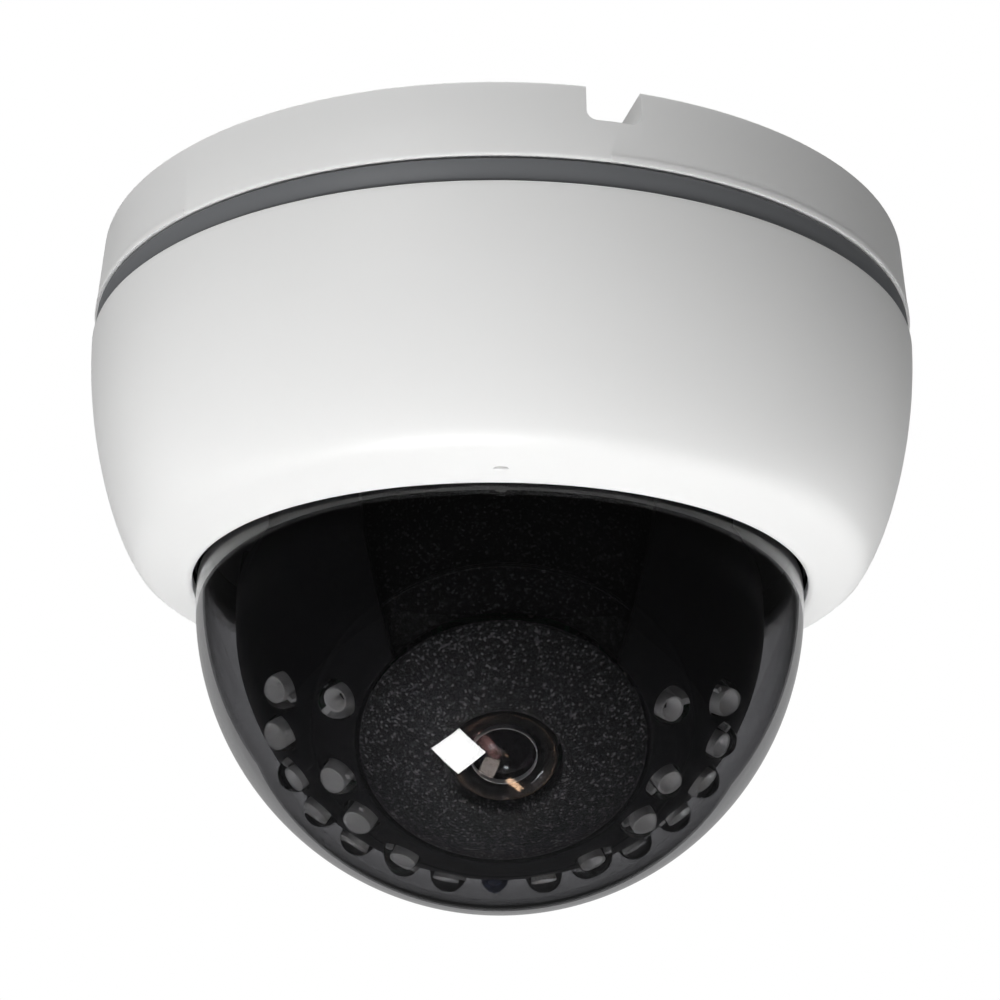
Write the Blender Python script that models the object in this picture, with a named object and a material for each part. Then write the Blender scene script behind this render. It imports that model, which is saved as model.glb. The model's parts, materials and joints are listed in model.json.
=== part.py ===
"""Dome security camera for a ceiling: base, lock ring, cover with dome, and a pan, tilt and roll eyeball.

The origin is the middle of the base's ceiling face. +Z goes up into the ceiling, the camera looks
towards -Y, and +X is its right-hand side as seen from in front. Lengths are written in millimetres.
"""
import bpy
import bmesh
from math import asin, cos, pi, radians, sin
from mathutils import Matrix, Vector

MM = 0.001

# Driving dimensions, in millimetres and degrees
BASE_RADIUS = 57.0            # at the ceiling face
BODY_RADIUS = 58.0            # widest place, at the top of the cover
BASE_DEPTH = 10.8             # ceiling face to the lower edge of the white base
BAND_TOP = -11.1
BAND_BOTTOM = -14.1
BAND_RADIUS = 57.6
COVER_TOP = -14.4
CURVE_DEPTH = 35.6            # height over which the cover's outside curves in
LIP_Z = -48.65                # lowest point of the cover's lip
LEDGE_Z = -46.7               # inner ledge that carries the dome's seal
OPENING_RADIUS = 42.4
OPENING_Z = -48.3
PLATE = 3.2                   # the base's back plate
NECK_RADIUS = 54.0
NECK_INNER = 51.8
NECK_BOTTOM = -19.0
COVER_WALL = 2.2
DOME_RADIUS = 41.8
DOME_WALL = 1.3
DOME_CENTRE_Z = -50.4
NOTCH_ANGLE = 12.25           # cable notch, to the right of the front
PIP_ANGLE = -1.75             # small raised mark on the lip
NOTCH_WIDTH = 7.2
NOTCH_DEPTH = 5.0
BALL_RADIUS = 36.5
BALL_WALL = 1.5
BALL_CENTRE_Z = -51.4
LENS_DOWN = 50.4              # lens axis below the horizontal
CAP_POLAR = 30.6              # edge of the front cap, seen from the ball's centre
CAP_RADIUS = 36.3
LENS_HOLE = 7.5               # radius of the cap's round hole
LENS_FRONT = 34.4             # front rim of the lens, from the ball's centre
SHELL_POLAR = (31.1, 115.0)
REAR_POLAR = 115.6
COLLAR_POLAR = 42.0           # step in the slot liner
LED_SIDE = (                  # the LEDs of one side: angle from the lens axis, then the place round it
    (51.0, 184.2), (52.1, 170.2), (53.6, 155.9), (55.0, 142.1), (57.0, 128.0), (58.5, 114.0),
    (36.5, 193.2), (36.8, 162.0), (37.6, 143.8), (41.0, 122.0), (49.9, 103.4),
)
LED_PLACES = LED_SIDE + tuple((polar, 180.0 - phi) for polar, phi in LED_SIDE)
SENSOR_POLAR = 58.5
SLOT = ((12.6, 8.0), (18.2, 24.4), (21.8, 37.0))    # half width, then distance above the lens
LED_TIP = 38.8                # from the ball's centre
LED_FOOT = 30.2
LED_RADIUS = 2.5
ARM_INNER = 29.6              # the yoke's arms, from the middle
ARM_THICK = 2.4
ARM_HALF = 5.0
POST_RADIUS = 49.6            # circle of the posts that hold the pan ring
POST_BOTTOM = -8.4            # lower end of those posts
BOARD_SCREW_RADIUS = 30.0     # circle of the two bosses that hold the main board
CABLE_HOLE_Y = 24.0           # middle of the cable hole, behind the base's middle
BOARD = (-6.4, -4.8)          # lower and upper face of the main board
FLANGE = (-10.7, -8.7)        # lower and upper face of the pan ring's flange
DISC = (-12.9, -10.9)         # lower and upper face of the turntable
RETAINER_SCREW_RADIUS = 47.0  # circle of the screws that hold the dome's retaining ring
RETAINER_POST_BOTTOM = -46.2  # lower end of the posts they go into
GAP = 0.3                     # clearance between pieces

ROUND = 40                    # facets round the large turned parts
SMALL = 12


def clear_scene():
    for obj in list(bpy.data.objects):
        bpy.data.objects.remove(obj, do_unlink=True)


def material(name, colour, roughness, metallic=0.0, transmission=0.0, coat=0.0):
    mat = bpy.data.materials.new(name)
    mat.use_nodes = True
    shader = mat.node_tree.nodes["Principled BSDF"]
    shader.inputs["Base Color"].default_value = (*colour, 1.0)
    shader.inputs["Roughness"].default_value = roughness
    shader.inputs["Metallic"].default_value = metallic
    shader.inputs["Transmission Weight"].default_value = transmission
    shader.inputs["Coat Weight"].default_value = coat
    mat.diffuse_color = (*colour, 1.0)
    return mat


def empty(name, location=(0, 0, 0), rotation=(0, 0, 0), parent=None):
    obj = bpy.data.objects.new(name, None)
    obj.location = Vector(location) * MM
    obj.rotation_euler = [radians(a) for a in rotation]
    obj.parent = parent
    bpy.context.collection.objects.link(obj)
    return obj


def finish(name, bm, mat=None, parent=None):
    """Scale the millimetre mesh to metres, close it and link it as one object."""
    bmesh.ops.remove_doubles(bm, verts=bm.verts, dist=0.0005)
    bmesh.ops.recalc_face_normals(bm, faces=bm.faces)
    bmesh.ops.scale(bm, vec=(MM, MM, MM), verts=bm.verts)
    mesh = bpy.data.meshes.new(name)
    bm.to_mesh(mesh)
    bm.free()
    mesh.shade_smooth()
    mesh.set_sharp_from_angle(angle=radians(35))
    obj = bpy.data.objects.new(name, mesh)
    if mat:
        mesh.materials.append(mat)
    obj.parent = parent
    bpy.context.collection.objects.link(obj)
    return obj


def turned_mesh(profile, steps=ROUND, turn=360.0, start=0.0):
    """Spin a profile of (radius, height) points about Z; a part turn is closed with end faces."""
    bm = bmesh.new()
    verts = [bm.verts.new((r, 0.0, z)) for r, z in profile]
    loop = max(profile[0][0], profile[-1][0]) > 0.001 or turn < 360
    pairs = list(zip(verts, verts[1:]))
    if loop:
        pairs.append((verts[-1], verts[0]))
    edges = [bm.edges.new(pair) for pair in pairs]
    whole = turn >= 360
    geom = edges
    if not whole:
        face = bm.faces.new(verts)
        geom = [face] + list(face.edges) + verts
    bmesh.ops.spin(bm, geom=geom, axis=(0, 0, 1), cent=(0, 0, 0), steps=steps,
                   angle=radians(turn), use_merge=whole, use_duplicate=False)
    bmesh.ops.rotate(bm, verts=bm.verts, matrix=Matrix.Rotation(radians(start), 3, "Z"))
    return bm


def turned(name, profile, mat=None, parent=None, steps=ROUND, **turn):
    return finish(name, turned_mesh(profile, steps, **turn), mat, parent)


def add_box(bm, low, high, matrix=Matrix()):
    size = [b - a for a, b in zip(low, high)]
    middle = [(a + b) / 2 for a, b in zip(low, high)]
    place = matrix @ Matrix.Translation(middle) @ Matrix.Diagonal((*size, 1.0))
    bmesh.ops.create_cube(bm, size=1.0, matrix=place)


def add_rod(bm, radius, low, high, matrix=Matrix(), steps=SMALL):
    place = matrix @ Matrix.Translation((0, 0, (low + high) / 2))
    bmesh.ops.create_cone(bm, cap_ends=True, segments=steps, radius1=radius, radius2=radius,
                          depth=high - low, matrix=place)


def thicken(bm, face, offset):
    """Extrude one face into a prism."""
    grown = bmesh.ops.extrude_face_region(bm, geom=[face])["geom"]
    bmesh.ops.translate(bm, vec=offset, verts=[g for g in grown if isinstance(g, bmesh.types.BMVert)])


def add_slot(bm, length, width, low, high, matrix=Matrix()):
    """A prism with round ends, its length along X."""
    half = (length - width) / 2
    points = []
    for side in (1, -1):
        for i in range(9):
            turn = radians(-90 + 180 * i / 8) + (0 if side > 0 else pi)
            points.append((side * half + width / 2 * cos(turn), width / 2 * sin(turn)))
    face = bm.faces.new([bm.verts.new(matrix @ Vector((x, y, low))) for x, y in points])
    thicken(bm, face, matrix.to_3x3() @ Vector((0, 0, high - low)))


def tool(target, bm, operation="DIFFERENCE"):
    """Cut or join a helper shape, in the target's own frame."""
    helper = finish(target.name + "_tool", bm, None, target.parent)
    helper.hide_render = True
    helper.display_type = "WIRE"
    helper.hide_set(True)
    change = target.modifiers.new(operation.lower(), "BOOLEAN")
    change.operation = operation
    change.object = helper
    change.solver = "EXACT"


def around(angle, radius):
    """Place on a circle about Z, counted from the front (-Y) towards +X."""
    turn = radians(angle)
    return Matrix.Translation((radius * sin(turn), -radius * cos(turn), 0)) @ Matrix.Rotation(turn, 4, "Z")


def arc(radius, first, last, steps, centre_z=0.0):
    """Points (radius, height) on a sphere, by angle from the pole at +Z."""
    points = []
    for i in range(steps + 1):
        polar = radians(first + (last - first) * i / steps)
        points.append((radius * sin(polar), centre_z + radius * cos(polar)))
    return points


def shell_band(outer, wall, first, last, steps):
    """Section of a spherical wall between two angles from the pole."""
    return arc(outer, first, last, steps) + arc(outer - wall, last, first, steps)


def screw(name, matrix, head_radius, head, shank_radius, tip, mat, parent):
    """Head from head[0] to head[1], then a shank on to the tip, along the matrix's Z."""
    profile = [(0, head[0]), (head_radius, head[0]), (head_radius, head[1]),
               (shank_radius, head[1]), (shank_radius, tip), (0, tip)]
    bm = turned_mesh(profile, 8)
    bmesh.ops.transform(bm, matrix=matrix, verts=bm.verts)
    return finish(name, bm, mat, parent)


clear_scene()

white = material("white_housing", (0.82, 0.82, 0.81), 0.38)
grey = material("grey_band", (0.17, 0.175, 0.18), 0.45)
smoke = material("smoked_dome", (0.02, 0.02, 0.022), 0.03, transmission=0.85)
black = material("black_plastic", (0.012, 0.012, 0.013), 0.42)
grain = material("black_grain", (0.02, 0.02, 0.021), 0.5)
rubber = material("rubber", (0.03, 0.03, 0.03), 0.8)
green = material("circuit_board", (0.02, 0.11, 0.05), 0.45)
steel = material("steel", (0.6, 0.6, 0.6), 0.3, metallic=1.0)
clear = material("clear_resin", (0.85, 0.88, 0.9), 0.05, transmission=0.9)
glass = material("coated_glass", (0.12, 0.05, 0.14), 0.02, transmission=0.5, coat=1.0)
chip = material("chip", (0.03, 0.03, 0.05), 0.2)

pan_axis = empty("pan_axis")
tilt_centre = empty("tilt_centre", (0, 0, BALL_CENTRE_Z), (90 + LENS_DOWN, 0, 0), pan_axis)

# Base: back plate, outer wall and a narrower neck that the lock ring and the cover go round
base_profile = [
    (0, 0), (BASE_RADIUS - 0.6, 0), (BASE_RADIUS, -0.6), (BODY_RADIUS - 0.2, -BASE_DEPTH + 0.8),
    (BODY_RADIUS - 0.5, -BASE_DEPTH), (NECK_RADIUS, -BASE_DEPTH), (NECK_RADIUS, NECK_BOTTOM),
    (NECK_INNER, NECK_BOTTOM), (NECK_INNER, -PLATE), (0, -PLATE),
]
base_housing = turned("base_housing", base_profile, white)
joins = bmesh.new()
for k in range(3):
    add_rod(joins, 2.4, POST_BOTTOM, -PLATE + 1, around(60 + 120 * k, POST_RADIUS), 12)
for side in (-1, 1):
    add_rod(joins, 3.0, -4.5, -PLATE + 1, around(65 * side, BOARD_SCREW_RADIUS), 12)
tool(base_housing, joins, "UNION")
for k in range(3):            # lugs under the lock ring
    lug = turned_mesh([(53.2, BAND_BOTTOM - 0.3), (55.2, BAND_BOTTOM - 0.3), (55.2, -15.6), (53.2, -16.6)],
                      3, turn=18.0, start=120 * k + 21)
    tool(base_housing, lug, "UNION")
cuts = bmesh.new()
half, corner = NOTCH_WIDTH / 2, 1.3
notch_outline = [(-half, 1.0), (-half, corner - NOTCH_DEPTH), (0.4 * corner - half, 0.4 * corner - NOTCH_DEPTH),
                 (corner - half, -NOTCH_DEPTH)]
notch_outline += [(-x, z) for x, z in reversed(notch_outline)]
notch = around(NOTCH_ANGLE, 44.0)
face = cuts.faces.new([cuts.verts.new(notch @ Vector((x, 0, z))) for x, z in notch_outline])
thicken(cuts, face, notch.to_3x3() @ Vector((0, -18.0, 0)))
add_rod(cuts, 6.0, -PLATE - 1, 1, Matrix.Translation((0, CABLE_HOLE_Y, 0)), 20)
for side in (-1, 1):
    add_slot(cuts, 12.0, 4.6, -PLATE - 1, 1, Matrix.Translation((side * 38.0, 0, 0)))
for k in range(3):
    add_rod(cuts, 1.3, POST_BOTTOM - 1, -2.4, around(60 + 120 * k, POST_RADIUS), 12)
for side in (-1, 1):
    add_rod(cuts, 1.6, -5.5, -1.6, around(65 * side, BOARD_SCREW_RADIUS), 12)
tool(base_housing, cuts)

# Rubber grommet round the cable hole in the back plate
grommet_profile = [(3.6, -0.6), (5.5, -0.6), (5.5, -PLATE - GAP), (7.6, -PLATE - GAP),
                   (7.6, -4.6), (3.6, -4.6)]
bm = turned_mesh(grommet_profile, 20)
bmesh.ops.translate(bm, vec=(0, CABLE_HOLE_Y, 0), verts=bm.verts)
finish("cable_grommet", bm, rubber)

# Main board, on two bosses, with a hole for the grommet and the wires
main_board = turned("main_board", [(0, BOARD[1]), (46.4, BOARD[1]), (46.4, BOARD[0]), (0, BOARD[0])],
                    green, steps=32)
cuts = bmesh.new()
add_rod(cuts, 9.0, -10, 0, Matrix.Translation((0, CABLE_HOLE_Y, 0)))
for side in (-1, 1):
    add_slot(cuts, 14.0, 9.0, -10, 0, Matrix.Translation((side * 38.0, 0, 0)))
    add_rod(cuts, 1.6, -10, 0, around(65 * side, BOARD_SCREW_RADIUS), 12)
tool(main_board, cuts)
for side, word in ((-1, "left"), (1, "right")):
    screw(f"board_screw_{word}", around(65 * side, BOARD_SCREW_RADIUS), 2.6, (-8.0, -6.7), 1.25, -2.2,
          steel, None)
bm = bmesh.new()
add_box(bm, (-26, 20, -10.3), (-12, 29, -6.7))
terminal_block = finish("terminal_block", bm, rubber)
cuts = bmesh.new()
for k in range(3):
    add_box(cuts, (-25 + 4.4 * k, 26.5, -9.6), (-21.8 + 4.4 * k, 30, -7.4))
tool(terminal_block, cuts)

# Pan ring: a stationary track that carries the turntable's edge on a lip
pan_ring_profile = [(44.6, FLANGE[1]), (51.3, FLANGE[1]), (51.3, FLANGE[0]), (46.6, FLANGE[0]),
                    (46.6, -14.4), (42.6, -14.4), (42.6, -13.2), (44.6, -13.2)]
pan_ring = turned("pan_ring", pan_ring_profile, black)
cuts = bmesh.new()
for k in range(3):
    add_rod(cuts, 1.4, -12, -7, around(60 + 120 * k, POST_RADIUS), 12)
tool(pan_ring, cuts)
for k in range(3):
    screw(f"pan_ring_screw_{k + 1}", around(60 + 120 * k, POST_RADIUS), 1.9, (-12.4, -11.0), 1.0, -4.4,
          steel, None)

# Lock ring: the grey band, captive on the neck above three lugs, with gaps to pass them
lock_ring = turned("lock_ring", [(54.3, BAND_TOP), (BAND_RADIUS - 0.3, BAND_TOP), (BAND_RADIUS, BAND_TOP - 0.3),
                                 (BAND_RADIUS, BAND_BOTTOM + 0.3), (BAND_RADIUS - 0.3, BAND_BOTTOM),
                                 (54.3, BAND_BOTTOM)], grey)
for k in range(3):
    tool(lock_ring, turned_mesh([(53.5, BAND_TOP + 1), (55.6, BAND_TOP + 1), (55.6, BAND_BOTTOM - 1),
                                 (53.5, BAND_BOTTOM - 1)], 4, turn=24.0, start=120 * k + 78))


def cover_outer(z):
    """Radius of the cover's outside at a height: upright at first, then an ever steeper curve."""
    drop = (COVER_TOP - z) / CURVE_DEPTH
    return BODY_RADIUS - 9.0 * drop ** 2 - 3.4 * drop ** 10


# Cover: one curved wall with a thick lip that turns in and up to the dome's opening
heights = [COVER_TOP, -19.0, -24.0, -28.5, -33.0, -37.0, -40.0, -42.4, -44.0, -45.2]
outside = [(cover_outer(z), z) for z in heights]
lip = [(49.2, -46.3), (47.8, -46.85), (46.2, -47.45), (44.6, -48.15), (43.1, LIP_Z),
       (OPENING_RADIUS, OPENING_Z), (OPENING_RADIUS, LEDGE_Z)]
inside = [(cover_outer(z) - COVER_WALL, z) for z in (-44.8, -41.5, -38.0, -32.0, -26.0, -20.0)]
cover_profile = outside + lip + [(46.4, LEDGE_Z)] + inside + [(BODY_RADIUS - COVER_WALL, COVER_TOP)]
outer_cover = turned("outer_cover", cover_profile, white)
joins = bmesh.new()
for k in range(3):
    add_rod(joins, 1.6, RETAINER_POST_BOTTOM, -44.0, around(60 + 120 * k, RETAINER_SCREW_RADIUS), 12)
tool(outer_cover, joins, "UNION")
pip = bmesh.new()             # small raised mark at the front of the lip
add_rod(pip, 0.9, -48.2, -47.2, around(PIP_ANGLE, 45.3), 10)
tool(outer_cover, pip, "UNION")
cuts = bmesh.new()
for k in range(3):
    add_rod(cuts, 1.0, RETAINER_POST_BOTTOM + 0.25, -43.0, around(60 + 120 * k, RETAINER_SCREW_RADIUS), 10)
tool(outer_cover, cuts)

# Dome: a half ball with a short neck and a flange, then its seal and its retaining ring
inner = DOME_RADIUS - DOME_WALL
dome_profile = (arc(DOME_RADIUS, 180, 90, 8, DOME_CENTRE_Z)
                + [(DOME_RADIUS, -45.5), (44.9, -45.5), (44.9, -44.0), (inner, -44.0)]
                + arc(inner, 90, 180, 8, DOME_CENTRE_Z))
dome_bubble = turned("dome_bubble", dome_profile, smoke)
turned("dome_seal", [(42.7, LEDGE_Z + GAP), (45.0, LEDGE_Z + GAP), (45.0, -45.8), (42.7, -45.8)], rubber)
retainer = turned("dome_retainer", [(42.0, -43.7), (48.6, -43.7), (48.6, -42.2), (42.0, -42.2)], black)
cuts = bmesh.new()
for k in range(3):
    add_rod(cuts, 1.1, -45, -41, around(60 + 120 * k, RETAINER_SCREW_RADIUS), 10)
tool(retainer, cuts)
for k in range(3):
    screw(f"retainer_screw_{k + 1}", around(60 + 120 * k, RETAINER_SCREW_RADIUS), 1.8, (-40.7, -41.9), 0.75,
          -45.7, steel, None)

# Turntable: an open disc that turns in the pan ring, moulded in one with the yoke's two arms
turntable = turned("turntable", [(12.0, DISC[1]), (44.2, DISC[1]), (44.2, DISC[0]), (12.0, DISC[0])],
                   black, pan_axis)
arms = bmesh.new()
for side in (-1, 1):
    outline = [(-ARM_HALF, DISC[1] - 1), (-ARM_HALF, BALL_CENTRE_Z)]
    for i in range(1, 8):
        turn = pi + pi * i / 8
        outline.append((ARM_HALF * cos(turn), BALL_CENTRE_Z + ARM_HALF * sin(turn)))
    outline += [(ARM_HALF, BALL_CENTRE_Z), (ARM_HALF, DISC[1] - 1)]
    face = arms.faces.new([arms.verts.new((side * ARM_INNER, y, z)) for y, z in outline])
    thicken(arms, face, (side * ARM_THICK, 0, 0))
tool(turntable, arms, "UNION")
ribs = bmesh.new()            # one rib outside each arm
for side in (-1, 1):
    x = sorted((side * (ARM_INNER + 1), side * (ARM_INNER + 7)))
    add_box(ribs, (x[0], -1.0, -22.0), (x[1], 1.0, DISC[0] + 1))
tool(turntable, ribs, "UNION")
holes = bmesh.new()
for side in (-1, 1):
    across = Matrix.Translation((0, 0, BALL_CENTRE_Z)) @ Matrix.Rotation(radians(90 * side), 4, "Y")
    add_rod(holes, 1.9, ARM_INNER - 1, ARM_INNER + ARM_THICK + 1, across)
tool(turntable, holes)

# Everything below is built about the ball's centre, with the lens looking along +Z and +Y uppermost


def led_place(polar, phi):
    """Turn +Z to an LED's direction: polar from the lens, phi from the right-hand side downwards."""
    return Matrix.Rotation(radians(-phi), 4, "Z") @ Matrix.Rotation(radians(polar), 4, "Y")


def arm_clearance():
    """Two sectors round the tilt axis that the yoke's arms sweep through."""
    bm = bmesh.new()
    first, last, inner_r, outer_r = 66.0, 206.0, 8.0, 42.0
    steps = 10
    for side in (-1, 1):
        turns = [radians(first + (last - first) * i / steps) for i in range(steps + 1)]
        ring = [(outer_r * cos(t), outer_r * sin(t)) for t in turns]
        ring += [(inner_r * cos(t), inner_r * sin(t)) for t in reversed(turns)]
        face = bm.faces.new([bm.verts.new((side * 28.9, y, z)) for z, y in ring])
        thicken(bm, face, (side * 12, 0, 0))
    return bm


def hub_rods(radius, low, high):
    """A rod on each side along the tilt axis."""
    bm = bmesh.new()
    for side in (-1, 1):
        add_rod(bm, radius, low, high, Matrix.Rotation(radians(90 * side), 4, "Y"), 12)
    return bm


# Front shell: the eyeball's smooth wall, with LED holes, a round hole and a slot above it
ball_shell = turned("ball_shell", shell_band(BALL_RADIUS, BALL_WALL, *SHELL_POLAR, 8), black, tilt_centre, 36)
tool(ball_shell, hub_rods(4.0, ARM_INNER + ARM_THICK + 0.5, 35.4), "UNION")
slot = bmesh.new()
edge = [(x, y) for x, y in SLOT] + [(-x, y) for x, y in reversed(SLOT)]
face = slot.faces.new([slot.verts.new((x, y, -20.0)) for x, y in edge])
thicken(slot, face, (0, 0, 60))
tool(ball_shell, slot)
tool(ball_shell, arm_clearance())
holes = hub_rods(1.8, 30.0, 34.8)
for polar, phi in LED_PLACES:
    add_rod(holes, LED_RADIUS + 0.4, 33.0, 39.0, led_place(polar, phi), 8)
SENSOR_PLACE = led_place(SENSOR_POLAR, 90.0)
add_rod(holes, 2.3, 33.0, 39.0, SENSOR_PLACE, 8)
tool(ball_shell, holes)

# Rear shell: closes the back of the eyeball, with a hole for the wires
ball_rear = turned("ball_rear", arc(BALL_RADIUS, REAR_POLAR, 172, 6)
                   + arc(BALL_RADIUS - BALL_WALL, 172, REAR_POLAR, 6), black, tilt_centre, 24)
tool(ball_rear, arm_clearance())

# Slot liner: closes the slot from behind, stepped where its raised collar ends
liner_profile = (arc(34.6, 32.2, COLLAR_POLAR, 2) + arc(33.3, COLLAR_POLAR + 1.0, 106, 6)
                 + arc(32.0, 106, 32.2, 7))
turned("slot_liner", liner_profile, grain, tilt_centre, 10, turn=104.0, start=38.0)

# LED board: a bowed horseshoe under the feet of the LEDs
board_profile = arc(29.8, 32.4, 63.0, 4) + arc(28.8, 63.0, 32.4, 4)
turned("led_board", board_profile, green, tilt_centre, 20, turn=230.0, start=-205.0)

# LEDs: clear 5 mm lamps, each with its flange behind the shell
led_profile = [(0, LED_FOOT), (2.65, LED_FOOT), (2.65, LED_FOOT + 0.9), (LED_RADIUS, LED_FOOT + 0.9),
               (LED_RADIUS, LED_TIP - 2.2), (1.8, LED_TIP - 0.7), (0, LED_TIP)]
for number, (polar, phi) in enumerate(LED_PLACES, 1):
    bm = turned_mesh(led_profile, 8)
    bmesh.ops.transform(bm, matrix=led_place(polar, phi), verts=bm.verts)
    finish(f"led_{number:02d}", bm, clear, tilt_centre)

# Light sensor: a small pointed window behind the LEDs' last row
bm = turned_mesh([(0, 33.2), (1.9, 33.2), (1.9, 37.4), (0.7, 38.9), (0, 38.9)], 8)
bmesh.ops.transform(bm, matrix=SENSOR_PLACE, verts=bm.verts)
finish("light_sensor", bm, chip, tilt_centre)

# Tilt screws: heads inside the arms, shanks through them into the shell's hubs
for side, word in ((-1, "left"), (1, "right")):
    screw(f"tilt_screw_{word}", Matrix.Rotation(radians(90 * side), 4, "Y"), 3.2, (27.6, 29.2), 1.45, 34.4,
          steel, tilt_centre)

# Carrier: the disc across the eyeball that the lens module turns in
carrier_plate = turned("carrier_plate", [(10.6, 12.6), (32.3, 12.6), (32.3, 11.0), (10.6, 11.0)],
                       black, tilt_centre, 32)
tool(carrier_plate, turned_mesh([(29.2, 14), (34, 14), (34, 9), (29.2, 9)], 10, turn=110.0, start=35.0))

# Lens module: hub with a snap edge, sensor board and the grained front cap on three posts
turned("roll_hub", [(8.4, 13.8), (15.4, 13.8), (15.4, 12.9), (10.2, 12.9), (10.2, 10.7), (10.9, 10.2),
                    (10.2, 9.2), (8.4, 9.2)], black, tilt_centre, 24)
bm = bmesh.new()
add_box(bm, (-15.6, -15.6, 14.1), (15.6, 15.6, 15.7))
finish("sensor_board", bm, green, tilt_centre)
bm = bmesh.new()
add_box(bm, (-4.0, -3.4, 16.0), (4.0, 3.4, 17.2))
finish("image_sensor", bm, chip, tilt_centre)

hole_polar = asin(LENS_HOLE / CAP_RADIUS) * 180 / pi
tunnel_end = 32.6
cap_profile = (arc(CAP_RADIUS, hole_polar, CAP_POLAR, 4) + arc(CAP_RADIUS - 1.6, CAP_POLAR - 0.4, 17.0, 3)
               + [(LENS_HOLE + 1.2, tunnel_end), (LENS_HOLE, tunnel_end)])
front_cap = turned("front_cap", cap_profile, grain, tilt_centre, 32)
posts = bmesh.new()
for k in range(3):
    add_rod(posts, 1.6, 16.0, 33.0, around(120 * k, 12.6), 8)
tool(front_cap, posts, "UNION")

# Lens: threaded holder, focusing barrel, its lock ring and two glasses
turned("lens_holder", [(6.3, 24.0), (9.0, 24.0), (9.0, 16.0), (6.3, 16.0)], black, tilt_centre, 20)
turned("lens_lock_ring", [(6.4, 26.4), (8.2, 26.4), (8.2, 24.4), (6.4, 24.4)], steel, tilt_centre, 20)
turned("lens_barrel", [(4.9, LENS_FRONT), (6.9, LENS_FRONT), (6.9, 27.2), (6.0, 27.2), (6.0, 19.0),
                       (3.6, 19.0), (3.6, 31.0), (4.9, 31.0)], black, tilt_centre, 20)
glass_top = LENS_FRONT - 0.7
turned("front_glass", [(0, glass_top)] + [(4.6 * i / 4, glass_top - 1.1 * (i / 4) ** 2) for i in range(1, 5)]
       + [(4.6, 31.3), (0, 31.3)], glass, tilt_centre, 20)
turned("rear_glass", [(0, 22.0), (3.3, 21.6), (3.3, 19.8), (0, 19.4)], glass, tilt_centre, 16)
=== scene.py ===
import json
import random
from math import asin, atan2, cos, pi, radians, sin, sqrt

import bpy
import bmesh
from mathutils import Matrix, Vector


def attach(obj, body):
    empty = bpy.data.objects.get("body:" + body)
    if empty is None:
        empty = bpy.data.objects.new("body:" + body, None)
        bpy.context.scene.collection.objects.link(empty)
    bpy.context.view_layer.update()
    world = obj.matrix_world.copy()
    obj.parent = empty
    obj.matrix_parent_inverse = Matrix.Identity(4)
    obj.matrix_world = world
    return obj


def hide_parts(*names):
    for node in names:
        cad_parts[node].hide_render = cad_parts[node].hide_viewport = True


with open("model.json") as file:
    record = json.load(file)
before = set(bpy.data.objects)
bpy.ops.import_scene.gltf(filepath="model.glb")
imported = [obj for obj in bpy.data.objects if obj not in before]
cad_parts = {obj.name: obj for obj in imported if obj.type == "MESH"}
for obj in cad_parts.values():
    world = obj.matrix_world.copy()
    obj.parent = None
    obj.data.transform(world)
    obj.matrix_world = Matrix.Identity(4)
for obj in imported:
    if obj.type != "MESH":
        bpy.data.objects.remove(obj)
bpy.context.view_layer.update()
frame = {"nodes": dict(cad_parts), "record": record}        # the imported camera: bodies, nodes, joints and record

mm = 0.001
random.seed(11)

# Places read from the frame: the eyeball's middle and the way the lens looks
joints = {j["name"]: j for j in frame["record"]["behaviour"]["joints"]}
ballCentre = Vector(joints["tilt_turn"]["pos_m"])
lensAxis = Vector(joints["roll_turn"]["axis"])
lensDown = atan2(-lensAxis.z, -lensAxis.y)
housingPlace = Matrix.Diagonal((mm, mm, mm, 1))      # millimetres, from the ceiling face
ballPlace = Matrix.Translation(ballCentre) @ Matrix.Rotation(pi / 2 + lensDown, 4, "X") @ housingPlace
print("frame read, lens looks", round(lensDown * 180 / pi, 1), "degrees down")


def arcPoints(radius, first, last, count, centreZ=0.0):
    points = []          # (radius, height) on a ball, by angle from its +Z pole
    for i in range(count + 1):
        polar = radians(first + (last - first) * i / count)
        points.append((radius * sin(polar), centreZ + radius * cos(polar)))
    return points


def ballPoint(radius, polar):
    return arcPoints(radius, polar, polar, 1)[0]


def spinPoints(points, steps=160, turn=360.0, start=0.0):
    bm = bmesh.new()
    verts = [bm.verts.new((r, 0, z)) for r, z in points]
    edges = [bm.edges.new(pair) for pair in zip(verts, verts[1:])]
    whole = turn >= 360
    if max(points[0][0], points[-1][0]) > 0.001 or not whole:
        edges.append(bm.edges.new((verts[-1], verts[0])))
    geom = edges
    if not whole:
        face = bm.faces.new(verts)
        geom = [face] + verts + list(face.edges)
    bmesh.ops.spin(bm, geom=geom, axis=(0, 0, 1), cent=(0, 0, 0), steps=steps,
                   angle=radians(turn), use_merge=whole)
    bmesh.ops.remove_doubles(bm, verts=bm.verts, dist=0.0005)
    bmesh.ops.recalc_face_normals(bm, faces=bm.faces)
    bmesh.ops.rotate(bm, verts=bm.verts, matrix=Matrix.Rotation(radians(start), 3, "Z"))
    return bm


def softenEdges(bm, width, segments=2, sharper=30.0):
    edges = [e for e in bm.edges if len(e.link_faces) == 2 and e.calc_face_angle() > radians(sharper)]
    bmesh.ops.bevel(bm, geom=edges, offset=width, offset_type="OFFSET", affect="EDGES",
                    segments=segments, profile=0.5, material=-1, clamp_overlap=True)
    return bm


def addBlock(bm, low, high, place=Matrix()):
    size = [b - a for a, b in zip(low, high)]
    middle = [(a + b) / 2 for a, b in zip(low, high)]
    bmesh.ops.create_cube(bm, size=1, matrix=place @ Matrix.Translation(middle)
                          @ Matrix.Diagonal((*size, 1)))
    return bm


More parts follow.
